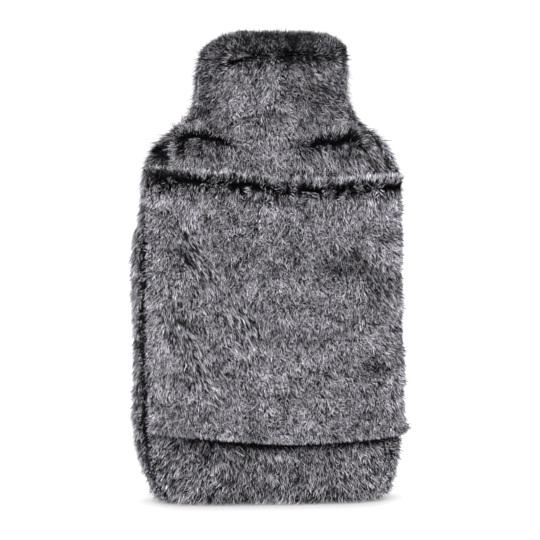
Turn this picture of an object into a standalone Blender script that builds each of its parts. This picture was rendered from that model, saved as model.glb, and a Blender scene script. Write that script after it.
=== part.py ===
"""Furry cloth cover for a hot water bottle, standing on its base.

Four sewn panels: a back panel eased round the sides and the base, a front yoke over the neck
and shoulders, a front pouch, and a flap that hangs from the yoke over the mouth and the pouch.
Each wall is as thick as the backing cloth with its pile. Metres, +Z up, front towards -Y.
"""

import math
from typing import NamedTuple

import bmesh
import bpy
import numpy as np
from mathutils import Matrix

# Cloth
WALL = 0.009  # backing cloth with its pile
FLAP_THICKNESS = 0.0095
SEAM_GAP = 0.0006  # along y at the side seams; on their slopes the panels are half as far apart
HEM_GAP = 0.0003  # between the yoke's hem and the pouch
FLAP_CLEARANCE = 0.0025  # between the flap's back and the pouch
FLAP_SEWN_GAP = 0.0002  # between the flap's back and the yoke, at the top stitching

# The hidden hem between yoke and pouch, and the mouth cut out of the pouch below it
YOKE_HEM = 0.234
MOUTH_SILL = 0.206
MOUTH_HALF_WIDTH = 0.084

SEAM_SET_BACK = 0.0025  # how far behind the front wall's inner face the side seam runs
ROOM_LEAST = 0.003  # the room's least reach forwards and back, at the flattened top

# Mesh density
OUTSIDE_COLUMNS, OUTSIDE_ROWS = 58, 2  # round a section, and from one table row to the next
ROOM_COLUMNS, ROOM_ROWS = 36, 1
BACK_DENSITY = 0.55  # columns along the back and sides, against 1 along the front
FLAP_COLUMNS, FLAP_ROWS = 23, 25

# The cutters reach this far past the cover
CUTTER_REACH = 0.3


class Section(NamedTuple):
    """A level section: its height, its four reaches from the middle, and how square it is."""

    height: float
    left: float
    right: float
    front: float
    back: float
    square: float


SECTIONS = (
    Section(0.0000, -0.0790, 0.0765, -0.0225, 0.0245, 3.0),
    Section(0.0028, -0.0865, 0.0865, -0.0268, 0.0284, 3.1),
    Section(0.0095, -0.0925, 0.0932, -0.0298, 0.0312, 3.3),
    Section(0.0220, -0.0988, 0.0982, -0.0310, 0.0325, 3.6),
    Section(0.0420, -0.1052, 0.1012, -0.0306, 0.0330, 3.8),
    Section(0.0700, -0.1078, 0.1015, -0.0282, 0.0332, 4.0),
    Section(0.1100, -0.1068, 0.1015, -0.0276, 0.0332, 4.0),
    Section(0.1550, -0.1078, 0.1015, -0.0276, 0.0330, 4.0),
    Section(0.1930, -0.1083, 0.1010, -0.0276, 0.0326, 4.0),
    Section(0.2160, -0.1045, 0.1012, -0.0274, 0.0320, 3.9),
    Section(0.2370, -0.1012, 0.1008, -0.0271, 0.0312, 3.8),
    Section(0.2540, -0.0995, 0.1005, -0.0270, 0.0302, 3.6),
    Section(0.2680, -0.0945, 0.0963, -0.0272, 0.0290, 3.4),
    Section(0.2810, -0.0855, 0.0880, -0.0268, 0.0275, 3.2),
    Section(0.2930, -0.0735, 0.0742, -0.0262, 0.0260, 3.0),
    Section(0.3050, -0.0628, 0.0638, -0.0254, 0.0248, 2.9),
    Section(0.3210, -0.0590, 0.0597, -0.0246, 0.0237, 2.9),
    Section(0.3380, -0.0580, 0.0595, -0.0234, 0.0226, 2.8),
    Section(0.3490, -0.0540, 0.0595, -0.0208, 0.0205, 2.7),
    Section(0.3580, -0.0465, 0.0545, -0.0165, 0.0167, 2.6),
    Section(0.3635, -0.0370, 0.0450, -0.0112, 0.0115, 2.5),
    Section(0.3660, -0.0240, 0.0310, -0.0050, 0.0052, 2.4),
)


class Crease(NamedTuple):
    """A soft trough from one point of the front to another; a negative depth is a ridge."""

    x_start: float
    z_start: float
    x_end: float
    z_end: float
    width: float
    depth: float


YOKE_CREASES = (
    Crease(-0.073, 0.282, -0.038, 0.280, 0.0080, -0.0032),  # left shoulder's ridge
    Crease(-0.076, 0.294, -0.040, 0.291, 0.0060, 0.0022),
    Crease(-0.038, 0.280, -0.020, 0.272, 0.0080, -0.0016),
    Crease(-0.069, 0.280, -0.069, 0.262, 0.0070, -0.0022),  # left tuck's ridge
    Crease(-0.083, 0.285, -0.085, 0.264, 0.0060, 0.0034),
    Crease(0.026, 0.276, 0.045, 0.281, 0.0080, -0.0026),  # right shoulder's ridge
    Crease(0.045, 0.281, 0.074, 0.277, 0.0080, -0.0032),
    Crease(0.020, 0.286, 0.060, 0.293, 0.0060, 0.0020),
    Crease(-0.044, 0.348, 0.048, 0.348, 0.0070, -0.0022),  # rolled top of the neck
    Crease(-0.044, 0.336, 0.048, 0.336, 0.0065, 0.0020),
)

FLAP_CREASES = (
    Crease(-0.077, 0.246, -0.072, 0.201, 0.0080, 0.0022),  # long slanting crease
    Crease(-0.072, 0.201, -0.032, 0.129, 0.0080, 0.0028),
    Crease(-0.090, 0.178, -0.056, 0.122, 0.0120, -0.0018),
    Crease(0.036, 0.189, 0.080, 0.181, 0.0120, 0.0028),  # soft hollows on the right
    Crease(0.062, 0.150, 0.047, 0.123, 0.0100, 0.0016),
    Crease(0.073, 0.114, 0.072, 0.109, 0.0110, 0.0022),
    Crease(-0.010, 0.208, 0.040, 0.217, 0.0200, -0.0016),
)


class FlapLevel(NamedTuple):
    """The flap across its width: a place from left (-1) to right (1), its top and bottom edge."""

    place: float
    top: float
    bottom: float


FLAP_LEVELS = (
    FlapLevel(-1.00, 0.2620, 0.0585),
    FlapLevel(-0.75, 0.2625, 0.0550),
    FlapLevel(-0.45, 0.2605, 0.0520),
    FlapLevel(-0.15, 0.2580, 0.0495),
    FlapLevel(0.15, 0.2550, 0.0480),
    FlapLevel(0.45, 0.2555, 0.0492),
    FlapLevel(0.75, 0.2555, 0.0515),
    FlapLevel(1.00, 0.2545, 0.0540),
)


class FlapSide(NamedTuple):
    """The flap from its top (0) to its bottom (1): how far its two sides reach."""

    drop: float
    left: float
    right: float


FLAP_SIDES = (
    FlapSide(0.00, -0.0975, 0.0970),
    FlapSide(0.10, -0.0985, 0.0990),
    FlapSide(0.35, -0.0985, 0.0980),
    FlapSide(0.65, -0.0985, 0.1000),
    FlapSide(0.90, -0.0975, 0.1010),
    FlapSide(1.00, -0.0960, 0.1020),
)

FLAP_ROLL_HEIGHT = 0.015  # the folded top edge
FLAP_ROLL_RISE = 0.0035
FLAP_HEM_HEIGHT = 0.016
FLAP_HEM_RISE = 0.0012
FLAP_EDGE_ROUND = 0.0028
FLAP_SIDE_THIN = 0.0025  # the flap's pile lies flatter towards its sides
FLAP_SPREAD = 0.0025  # the flap bends round the body's sides less than the body does

# The cloth's slow unevenness
WAVE_RISE = 0.0007
WAVES = ((0.061, 0.047, 0.4), (0.038, 0.083, 1.9), (0.094, 0.035, 3.1))  # along x, along z, phase

FUR_COLOUR = (0.150, 0.145, 0.160, 1.0)
SHADES = {"back_panel": 0.85, "front_yoke": 1.0, "front_flap": 1.15, "front_pouch": 0.95}


def spline(table, places):
    """Smooth curve through the table's rows, counted from 0, read at the given places."""
    rows = np.array(table, dtype=float)
    rows = np.vstack((2 * rows[0] - rows[1], rows, 2 * rows[-1] - rows[-2]))
    places = np.asarray(places, dtype=float)
    first = np.clip(places.astype(int), 0, len(table) - 2)
    step = (places - first)[:, None]
    before, start, end, after = (rows[first + k] for k in range(4))
    return 0.5 * (
        2 * start
        + (end - before) * step
        + (2 * before - 5 * start + 4 * end - after) * step**2
        + (3 * start - before - 3 * end + after) * step**3
    )


def dense_sections(rows_between):
    """The section table with smooth rows added between its own."""
    count = (len(SECTIONS) - 1) * rows_between + 1
    return [Section(*row) for row in spline(SECTIONS, np.linspace(0, len(SECTIONS) - 1, count))]


def section_at(height):
    """The section at any height."""
    heights = [section.height for section in SECTIONS]
    place = np.interp(height, heights, range(len(SECTIONS)))
    return Section(*spline(SECTIONS, [place])[0])


def wave(x, z):
    """The cloth's slow unevenness at a point of the front."""
    return WAVE_RISE * sum(
        math.sin(2 * math.pi * x / along_x + phase) * math.cos(2 * math.pi * z / along_z + phase)
        for along_x, along_z, phase in WAVES
    )


def crease_depth(creases, x, z):
    """How far the creases sink the front at a point."""
    depth = 0.0
    for crease in creases:
        run = np.array((crease.x_end - crease.x_start, crease.z_end - crease.z_start))
        to_point = np.array((x - crease.x_start, z - crease.z_start))
        along = np.clip(to_point @ run / (run @ run), 0, 1)
        away = np.linalg.norm(to_point - along * run) / crease.width
        depth += crease.depth * math.exp(-away * away)
    return depth


def ring(section, count):
    """Points round a level section, from the back's middle past the left side."""
    turn = np.linspace(0, 2 * math.pi, 1441) + math.pi / 2
    power = 2 / section.square
    side, face = np.cos(turn), np.sin(turn)
    x = np.where(side > 0, section.right, -section.left) * np.sign(side) * np.abs(side) ** power
    y = np.where(face > 0, section.back, -section.front) * np.sign(face) * np.abs(face) ** power
    steps = np.hypot(np.diff(x), np.diff(y)) * np.where(y[1:] < 0.6 * section.front, 1, BACK_DENSITY)
    length = np.concatenate(([0], np.cumsum(steps)))
    marks = np.linspace(0, length[-1], count, endpoint=False)
    return np.interp(marks, length, x), np.interp(marks, length, y)


def lofted_body(name, sections, columns, creases=()):
    """A closed mesh through the sections, flat at both ends; creases sink its uneven front."""
    mesh = bpy.data.meshes.new(name)
    points = []
    for section in sections:
        for x, y in zip(*ring(section, columns)):
            frontness = np.clip(y / section.front, 0, 1) ** 2
            sink = (crease_depth(creases, x, section.height) - wave(x, section.height)) if creases else 0
            points.append((x, y + frontness * sink, section.height))
    faces = []
    for row in range(len(sections) - 1):
        for column in range(columns):
            beside = (column + 1) % columns
            low, high = row * columns, (row + 1) * columns
            faces.append((low + column, low + beside, high + beside, high + column))
    faces.append(tuple(reversed(range(columns))))
    faces.append(tuple(range(len(points) - columns, len(points))))
    mesh.from_pydata(points, [], faces)
    mesh.update()
    return mesh


def bottle_room():
    """Sections of the room inside, one wall in from the cover's own."""
    top = SECTIONS[-1].height
    return [
        Section(
            WALL + section.height * (top - 2 * WALL) / top,
            section.left + WALL,
            section.right - WALL,
            min(section.front + WALL, -ROOM_LEAST),
            max(section.back - WALL, ROOM_LEAST),
            section.square,
        )
        for section in dense_sections(ROOM_ROWS)
    ]


def seam_line(shift):
    """Points (y, z) up the side seam, moved along y by shift."""
    rows = [(row.front + SEAM_SET_BACK + shift, row.height) for row in bottle_room()]
    return [(rows[0][0], -CUTTER_REACH), *rows, (rows[-1][0], SECTIONS[-1].height + CUTTER_REACH)]


def seam_y(height, shift):
    """The side seam's y at a height."""
    line = seam_line(shift)
    return float(np.interp(height, [z for _, z in line], [y for y, _ in line]))


def cutter(name, low, high, side, collection):
    """A prism across the whole cover on one side of the seam, between two heights."""
    shift = side * SEAM_GAP / 2
    middle = [(y, z) for y, z in seam_line(shift) if low < z < high]
    edge = [(seam_y(low, shift), low), *middle, (seam_y(high, shift), high)]
    outline = [*edge, (side * CUTTER_REACH, high), (side * CUTTER_REACH, low)]
    shape = bmesh.new()
    near_end = shape.faces.new([shape.verts.new((-CUTTER_REACH, y, z)) for y, z in outline])
    drawn = bmesh.ops.extrude_face_region(shape, geom=[near_end])["geom"]
    far_points = [part for part in drawn if isinstance(part, bmesh.types.BMVert)]
    bmesh.ops.translate(shape, vec=(2 * CUTTER_REACH, 0, 0), verts=far_points)
    bmesh.ops.recalc_face_normals(shape, faces=shape.faces)
    mesh = bpy.data.meshes.new(name)
    shape.to_mesh(mesh)
    shape.free()
    return tool_object(name, mesh, collection)


def tool_object(name, mesh, collection):
    """An object that only shapes others."""
    tool = bpy.data.objects.new(name, mesh)
    tool.hide_render = True
    tool.display_type = "WIRE"
    collection.objects.link(tool)
    return tool


def mouth_cutter(collection):
    """A block that cuts the mouth out of the pouch's upper edge."""
    bpy.ops.mesh.primitive_cube_add(size=1, location=(0, 0, 0))
    block = bpy.context.object
    mesh = block.data
    bpy.data.objects.remove(block)
    mesh.transform(Matrix.Diagonal((2 * MOUTH_HALF_WIDTH, CUTTER_REACH, 2 * (YOKE_HEM - MOUTH_SILL), 1)))
    mesh.transform(Matrix.Translation((0, 0, YOKE_HEM)))
    return tool_object("mouth_cutter", mesh, collection)


def add_boolean(panel, operation, tool):
    """Cut the panel with a tool."""
    cut = panel.modifiers.new(f"{operation.lower()} {tool.name}", "BOOLEAN")
    cut.operation = operation
    cut.solver = "EXACT"
    cut.object = tool


def fur_material(name):
    """Grey fur cloth, in the panel's own shade."""
    material = bpy.data.materials.new(name)
    material.use_nodes = True
    shader = material.node_tree.nodes["Principled BSDF"]
    colour = [channel * SHADES[name] for channel in FUR_COLOUR[:3]]
    shader.inputs["Base Color"].default_value = (*colour, 1.0)
    shader.inputs["Roughness"].default_value = 0.95
    shader.inputs["Metallic"].default_value = 0.0
    return material


def panel_object(name, mesh, collection):
    """A visible panel with its own material."""
    panel = bpy.data.objects.new(name, mesh)
    panel.data.materials.append(fur_material(name))
    panel.data.shade_smooth()
    collection.objects.link(panel)
    return panel


def wall_panel(name, side, low, high, room, parts, tools):
    """A panel cut out of the cover's wall."""
    outside = lofted_body(name, dense_sections(OUTSIDE_ROWS), OUTSIDE_COLUMNS, YOKE_CREASES)
    panel = panel_object(name, outside, parts)
    add_boolean(panel, "DIFFERENCE", room)
    add_boolean(panel, "INTERSECT", cutter(f"{name}_cutter", low, high, side, tools))
    return panel


def front_y(x, z, spread):
    """The front's y at a point, with its sides spread apart."""
    section = section_at(z)
    reach = (section.right if x > 0 else -section.left) + spread
    share = min(abs(x) / reach, 0.999)
    return section.front * (1 - share**section.square) ** (1 / section.square)


def bump(distance, reach):
    """A smooth hump, 1 where distance is 0 and 0 from reach on."""
    return math.cos(0.5 * math.pi * min(abs(distance) / reach, 1)) ** 2


def flap_surface(across, drop):
    """A point on the flap's back and the flap's thickness there."""
    places = [level.place for level in FLAP_LEVELS]
    _, top, bottom = spline(FLAP_LEVELS, [np.interp(across, places, range(len(places)))])[0]
    drops = [side.drop for side in FLAP_SIDES]
    _, left, right = spline(FLAP_SIDES, [np.interp(drop, drops, range(len(drops)))])[0]
    x = left + (right - left) * (across + 1) / 2
    z = top + (bottom - top) * drop
    sewn = bump(top - z, 0.030)
    clearance = FLAP_CLEARANCE + (FLAP_SEWN_GAP - FLAP_CLEARANCE) * sewn
    y = front_y(x, min(z, YOKE_HEM + 0.01), FLAP_SPREAD) - clearance - WAVE_RISE * 2
    thickness = FLAP_THICKNESS - crease_depth(FLAP_CREASES, x, z) + wave(x, z)
    thickness -= FLAP_SIDE_THIN * abs(across) ** 6
    thickness += FLAP_ROLL_RISE * bump(top - z - FLAP_ROLL_HEIGHT / 2, FLAP_ROLL_HEIGHT)
    thickness += FLAP_HEM_RISE * bump(z - bottom - FLAP_HEM_HEIGHT / 2, FLAP_HEM_HEIGHT)
    return (x, y, z), thickness


def flap(parts):
    """The hanging flap: its back surface, thickened forwards, with soft edges."""
    name = "front_flap"
    sheet = bmesh.new()
    bmesh.ops.create_grid(sheet, x_segments=FLAP_COLUMNS, y_segments=FLAP_ROWS, size=1)
    thicknesses = []
    for vertex in sheet.verts:
        vertex.co, thickness = flap_surface(vertex.co.x, (1 - vertex.co.y) / 2)
        thicknesses.append(thickness)
    mesh = bpy.data.meshes.new(name)
    sheet.to_mesh(mesh)
    sheet.free()
    panel = panel_object(name, mesh, parts)
    group = panel.vertex_groups.new(name="thickness")
    for index, thickness in enumerate(thicknesses):
        group.add([index], thickness / max(thicknesses), "REPLACE")
    thicken = panel.modifiers.new("thickness", "SOLIDIFY")
    thicken.thickness = max(thicknesses)
    thicken.offset = 1
    thicken.vertex_group = group.name
    soften = panel.modifiers.new("soft edges", "BEVEL")
    soften.width = FLAP_EDGE_ROUND
    soften.segments = 2
    soften.limit_method = "ANGLE"
    soften.angle_limit = math.radians(50)
    return panel


def stand_on_origin(parts, tools):
    """Hang all from one empty, moved so that the cover's box stands centred on the origin."""
    depsgraph = bpy.context.evaluated_depsgraph_get()
    points = []
    for panel in parts.objects:
        shape = panel.evaluated_get(depsgraph).data
        points.extend(vertex.co.copy() for vertex in shape.vertices)
    low, high = np.min(points, axis=0), np.max(points, axis=0)
    stand = bpy.data.objects.new("stand_point", None)
    stand.location = (-(low[0] + high[0]) / 2, -(low[1] + high[1]) / 2, -low[2])
    for thing in (*parts.objects, *tools.objects):
        thing.parent = stand
    parts.objects.link(stand)


def main():
    """Build the cover."""
    for thing in list(bpy.data.objects):
        bpy.data.objects.remove(thing, do_unlink=True)
    parts = bpy.data.collections.new("hot_water_bottle_cover")
    tools = bpy.data.collections.new("cutters")
    for collection in (parts, tools):
        bpy.context.scene.collection.children.link(collection)
    room = tool_object("bottle_room", lofted_body("bottle_room", bottle_room(), ROOM_COLUMNS), tools)
    whole = (-CUTTER_REACH, SECTIONS[-1].height + CUTTER_REACH)
    wall_panel("back_panel", 1, *whole, room, parts, tools)
    wall_panel("front_yoke", -1, YOKE_HEM, whole[1], room, parts, tools)
    pouch = wall_panel("front_pouch", -1, whole[0], YOKE_HEM - HEM_GAP, room, parts, tools)
    add_boolean(pouch, "DIFFERENCE", mouth_cutter(tools))
    flap(parts)
    stand_on_origin(parts, tools)


main()
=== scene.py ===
"""Looks of a grey fur cover for a hot water bottle.

Every panel is cut from one fur cloth: a thin knitted backing and a dense pile, black at the roots
and light grey at the tips. Each panel is made as a sheet of backing, set in from the outer side of
its solid, and piles that grow out of it: a short dense one below and longer hair over it. The
pile lies down the cover, splays towards the sides, and parts where the cloth is folded. Shade in
folds, grooves, hollows and under the flap's hem, and light at the cover's sides and on the
fold's tips, are painted into the hairs' tone.
"""

import itertools
import logging
import math
from dataclasses import dataclass, replace
from enum import Enum
from functools import cached_property

import bpy
import numpy as np
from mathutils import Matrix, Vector
from mathutils.bvhtree import BVHTree


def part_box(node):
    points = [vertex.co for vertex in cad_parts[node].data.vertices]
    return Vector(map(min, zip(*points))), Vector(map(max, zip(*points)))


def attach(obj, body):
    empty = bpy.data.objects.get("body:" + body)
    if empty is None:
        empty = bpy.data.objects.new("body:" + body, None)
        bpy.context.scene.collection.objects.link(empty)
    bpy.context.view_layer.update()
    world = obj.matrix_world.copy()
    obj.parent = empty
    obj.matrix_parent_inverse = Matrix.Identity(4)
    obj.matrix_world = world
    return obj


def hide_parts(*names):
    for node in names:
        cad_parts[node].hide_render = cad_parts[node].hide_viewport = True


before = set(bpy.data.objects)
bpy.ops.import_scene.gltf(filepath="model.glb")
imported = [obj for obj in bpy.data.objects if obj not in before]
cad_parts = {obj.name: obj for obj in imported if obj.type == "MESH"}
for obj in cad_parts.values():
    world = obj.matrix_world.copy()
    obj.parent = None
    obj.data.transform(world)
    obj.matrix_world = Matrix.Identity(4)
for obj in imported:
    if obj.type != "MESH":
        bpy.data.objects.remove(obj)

Colour = tuple[float, float, float]
Line = tuple[tuple[float, float], ...]
Tree = bpy.types.NodeTree
Socket = bpy.types.NodeSocket
Object = bpy.types.Object
Array = np.ndarray
Chance = np.random.Generator

CLOTH = 0.0012  # thickness of the knitted backing
BODY_PILE = 0.0062  # how far the pile stands above the body's backing
FLAP_PILE = 0.0070  # the room above the flap's backing at which its pile has its full length
SEAM_Y = -0.006  # depth of the side seam
FLOOR_CLEAR = 0.0003  # the lowest that any hair reaches
SKIP = 1e-4  # how far past a face a ray starts, so that it misses that face
HAIR_MAP = "OFBake"  # on each hair: its tone across, and the way from root to tip upwards
WHITE = (1.0, 1.0, 1.0, 1.0)


class Hold(Enum):
    """How a sheet of cloth is held in its shape."""

    STRETCHED = "stretched"
    HUNG = "hung"


class Place(Enum):
    """Where on a panel a pile grows."""

    ALL_OVER = "all over"
    RIM = "where the panel turns to the sides"


def take_up(thing: Object) -> None:
    """Select one object alone and make it the active one.

    Args:
        thing: the object.
    """
    bpy.ops.object.select_all(action="DESELECT")
    thing.select_set(True)
    bpy.context.view_layer.objects.active = thing


def put(name: str, data: bpy.types.ID) -> Object:
    """Put a mesh, a lamp or a camera in the scene.

    Args:
        name: the name of its object.
        data: the mesh, lamp or camera.

    Returns:
        The object.
    """
    thing = bpy.data.objects.new(name, data)
    bpy.context.scene.collection.objects.link(thing)
    return thing


def read(things: bpy.types.bpy_prop_collection, name: str, kind: type) -> Array:
    """Read three numbers of each thing in a mesh.

    Args:
        things: the mesh's points or triangles.
        name: what is read.
        kind: the type of the numbers.

    Returns:
        A row for each thing.
    """
    values = np.empty(len(things) * 3, kind)
    things.foreach_get(name, values)
    return values.reshape(-1, 3)


def unit(vectors: Array) -> Array:
    """Scale each row to a length of one."""
    return vectors / np.maximum(np.linalg.norm(vectors, axis=-1, keepdims=True), 1e-9)


def along_cloth(vectors: Array, normals: Array) -> Array:
    """Lay each row flat on the cloth with this normal, at a length of one."""
    return unit(vectors - (vectors * normals).sum(1)[:, None] * normals)


def smooth(values: Array, low: float, high: float) -> Array:
    """Ease from 0 where the values are low to 1 where they are high."""
    share = np.clip((values - low) / (high - low), 0, 1)
    return share * share * (3 - 2 * share)


def cell_noise(cells: Array, seed: int) -> Array:
    """A steady random number for each cell of space.

    Args:
        cells: rows of three whole numbers.
        seed: picks one set of numbers.

    Returns:
        A number from -1 to 1 for each row.
    """
    mixed = cells[:, 0] * 73856093 ^ cells[:, 1] * 19349663 ^ cells[:, 2] * 83492791
    mixed = (mixed ^ seed * 2654435761) & 0xFFFFFFFF
    for factor in (2246822519, 3266489917):
        mixed = ((mixed ^ (mixed >> 15)) * factor) & 0xFFFFFFFF
    return (mixed ^ (mixed >> 16)) / 0x7FFFFFFF - 1


def soft_noise(points: Array, size: float, seed: int) -> Array:
    """Noise that changes smoothly through space.

    Args:
        points: where to read it.
        size: the distance from one hump to the next.
        seed: picks one pattern, and shifts it.

    Returns:
        A number from -1 to 1 for each point.
    """
    places = points / size + 7.31 * seed
    corner = np.floor(places).astype(np.int64)
    share = places - corner
    share = share * share * (3 - 2 * share)
    total = np.zeros(len(points))
    for step in itertools.product((0, 1), repeat=3):
        weight = np.prod(np.where(step, share, 1 - share), axis=1)
        total += weight * cell_noise(corner + np.array(step), seed)
    return total


def soft_shift(points: Array, size: float, seed: int) -> Array:
    """Soft noise in three directions, from three seeds in a row."""
    return np.stack([soft_noise(points, size, seed + k) for k in range(3)], axis=1)


# Finishes


def feed(tree: Tree, inputs: bpy.types.bpy_prop_collection, links: dict) -> None:
    """Give a node's inputs what they take.

    Args:
        tree: the node's tree.
        inputs: its inputs.
        links: for each input, by name or number, a socket that feeds it or its value.
    """
    for name, value in links.items():
        if isinstance(value, Socket):
            tree.links.new(value, inputs[name])
        else:
            inputs[name].default_value = value


def node(tree: Tree, kind: str, links: dict | None = None, **settings: object) -> bpy.types.Node:
    """Place a shader node.

    Args:
        tree: the tree that it goes in.
        kind: the node's type.
        links: what its inputs take.
        settings: the node's own settings.

    Returns:
        The node.
    """
    placed = tree.nodes.new(kind)
    for name, value in settings.items():
        setattr(placed, name, value)
    feed(tree, placed.inputs, links or {})
    return placed


def maths(tree: Tree, operation: str, *values: float | Socket) -> Socket:
    """Place a node that reckons with numbers."""
    return node(tree, "ShaderNodeMath", dict(enumerate(values)), operation=operation).outputs[0]


def ranged(tree: Tree, links: dict, kind: str = "LINEAR") -> Socket:
    """Place a node that maps one range of numbers on another."""
    return node(tree, "ShaderNodeMapRange", links, interpolation_type=kind).outputs[0]


def mix(tree: Tree, share: float | Socket, one: object, two: object, kind: str = "MIX") -> Socket:
    """Place a node that mixes two colours."""
    links = {0: share, 6: one, 7: two}
    return node(tree, "ShaderNodeMix", links, data_type="RGBA", blend_type=kind).outputs[2]


TONE_LEAD = 0.30  # how much nearer the root the light dye starts on the lightest hair
ROOT_ROUGHNESS, TIP_ROUGHNESS = 0.75, 0.48
DYE_SOCKETS = (
    (("Root", "Shaft", "Tip"), "NodeSocketColor", "INPUT"),
    (("Dye Start", "Dye End", "Tone Spread"), "NodeSocketFloat", "INPUT"),
    (("Colour",), "NodeSocketColor", "OUTPUT"),
    (("Roughness",), "NodeSocketFloat", "OUTPUT"),
)


def hair_dye_group() -> Tree:
    """Make the dye that runs along each hair, or find it if it is there.

    Returns:
        The group, with the colour and the roughness along the hair.
    """
    name = "hair_dye"
    if name in bpy.data.node_groups:
        return bpy.data.node_groups[name]
    group = bpy.data.node_groups.new(name, "ShaderNodeTree")
    for labels, kind, way in DYE_SOCKETS:
        for label in labels:
            group.interface.new_socket(label, in_out=way, socket_type=kind)
    given = node(group, "NodeGroupInput").outputs
    place = node(group, "ShaderNodeUVMap", uv_map=HAIR_MAP).outputs[0]
    tone, along, _ = node(group, "ShaderNodeSeparateXYZ", {0: place}).outputs
    lower = ranged(group, {"Value": along, "From Min": 0.0, "From Max": given["Dye Start"]})
    shaft = mix(group, lower, given["Root"], given["Shaft"])
    offset = maths(group, "ADD", tone, -0.5)
    reach = maths(group, "ADD", along, maths(group, "MULTIPLY", offset, TONE_LEAD))
    dyed = ranged(
        group,
        {"Value": reach, "From Min": given["Dye Start"], "From Max": given["Dye End"]},
        "SMOOTHSTEP",
    )
    shade = maths(group, "MULTIPLY_ADD", offset, given["Tone Spread"], 1.0)
    tip = mix(group, 1.0, given["Tip"], shade, "MULTIPLY")
    ends = {"Value": along, "To Min": ROOT_ROUGHNESS, "To Max": TIP_ROUGHNESS}
    results = {"Colour": mix(group, dyed, shaft, tip), "Roughness": ranged(group, ends)}
    node(group, "NodeGroupOutput", results)
    return group


@dataclass(frozen=True)
class Finish:
    """What all finishes share: a name, and a material that is made once."""

    name: str

    def material(self) -> bpy.types.Material:
        """Make the material, or find it if it is there.

        Returns:
            The material.
        """
        if self.name in bpy.data.materials:
            return bpy.data.materials[self.name]
        made = bpy.data.materials.new(self.name)
        made.use_nodes = True
        shader = made.node_tree.nodes["Principled BSDF"].inputs
        feed(made.node_tree, shader, self.links(made.node_tree))
        return made

    def put_on(self, piece: Object) -> None:
        """Make this the piece's only finish."""
        piece.data.materials.clear()
        piece.data.materials.append(self.material())

    def links(self, tree: Tree) -> dict:
        """Place the finish's nodes, and give what the shader's inputs take."""
        raise NotImplementedError


@dataclass(frozen=True)
class PileFinish(Finish):
    """Dyed fur hair, black at the root and light at the tip."""

    root: Colour = (0.0012, 0.0012, 0.0015)
    shaft: Colour = (0.0045, 0.0045, 0.0055)
    tip: Colour = (0.50, 0.485, 0.53)
    dye_start: float = 0.48
    dye_end: float = 0.92
    tone_spread: float = 1.96
    gleam: float = 0.08

    def links(self, tree: Tree) -> dict:
        """Dye the hair along its length.

        Args:
            tree: the material's tree.

        Returns:
            What the shader's inputs take.
        """
        takes = {
            "Root": (*self.root, 1.0),
            "Shaft": (*self.shaft, 1.0),
            "Tip": (*self.tip, 1.0),
            "Dye Start": self.dye_start,
            "Dye End": self.dye_end,
            "Tone Spread": self.tone_spread,
        }
        dye = node(tree, "ShaderNodeGroup", takes, node_tree=hair_dye_group()).outputs
        shine = {"Roughness": dye["Roughness"], "Specular IOR Level": self.gleam}
        return {"Base Color": dye["Colour"]} | shine


@dataclass(frozen=True)
class BackingFinish(Finish):
    """Dark knitted backing cloth: fine rows of stitches, with a painted highlight on their crowns.
    """

    yarn: Colour = (0.0015, 0.0015, 0.0018)
    # painted highlight on the stitches' crowns
    crown_highlight: Colour = (0.006, 0.006, 0.007)
    stitch: float = 0.0011
    row: float = 0.0014
    slant: float = 0.35  # how much the rows slant
    fleck: float = 900.0  # how fine the flecks in the yarn are
    depth: float = 0.0003

    def links(self, tree: Tree) -> dict:
        """Knit the cloth from ribs across and rows upwards.

        Args:
            tree: the material's tree.

        Returns:
            What the shader's inputs take.
        """
        place = node(tree, "ShaderNodeTexCoord").outputs["Object"]
        slant = self.slant / self.stitch
        across = self.ribs(tree, place, (1 / self.stitch, 0.0, 0.0))
        upwards = self.ribs(tree, place, (slant, slant, 1 / self.row))
        relief = maths(tree, "MULTIPLY", across, upwards)
        fleck = node(tree, "ShaderNodeTexNoise", {"Vector": place, "Scale": self.fleck}).outputs[0]
        # painted highlight: where the relief is high, the yarn is mixed towards the lighter crown
        # colour, broken by flecks
        share = maths(tree, "MULTIPLY", relief, fleck)
        bump = {"Height": relief, "Distance": self.depth, "Strength": 0.8}
        return {
            "Base Color": mix(tree, share, (*self.yarn, 1.0), (*self.crown_highlight, 1.0)),
            "Normal": node(tree, "ShaderNodeBump", bump).outputs[0],
            "Roughness": 0.95,
            "Specular IOR Level": 0.0,
        }

    @staticmethod
    def ribs(tree: Tree, place: Socket, turns: Colour) -> Socket:
        """Even ribs across one direction.

        Args:
            tree: the material's tree.
            place: the point's place.
            turns: the number of ribs to a metre along each axis.

        Returns:
            A socket that goes from 0 to 1 and back across each rib.
        """
        run = node(tree, "ShaderNodeVectorMath", {0: place, 1: turns}, operation="DOT_PRODUCT")
        wave = maths(tree, "SINE", maths(tree, "MULTIPLY", run.outputs["Value"], math.tau))
        return ranged(tree, {"Value": wave, "From Min": -1.0})


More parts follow.
